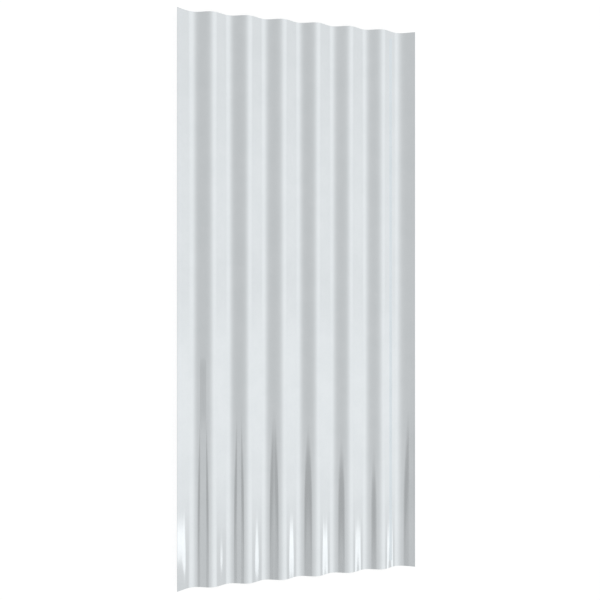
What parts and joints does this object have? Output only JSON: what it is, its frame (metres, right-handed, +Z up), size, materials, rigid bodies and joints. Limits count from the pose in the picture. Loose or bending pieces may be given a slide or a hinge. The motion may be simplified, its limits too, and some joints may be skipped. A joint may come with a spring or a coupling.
{
  "type": "corrugated metal sheet",
  "caption": "Rectangular sheet of thin galvanised steel rolled into even rounded waves along its length, for roofing, cladding, fencing and bed edging.",
  "frame": {"origin": "under the middle of the sheet, on the plane that the undersides of its valleys rest on", "axes": "+X across the waves, +Y along the waves, +Z up, out of the face that the weather meets"},
  "size_m": [0.4462, 1, 0.0156],
  "materials": {
    "galvanised_steel": "gloss"
  },
  "bodies": {
    "root": {"corrugated_sheet": "galvanised_steel"}
  },
  "joints": []
}
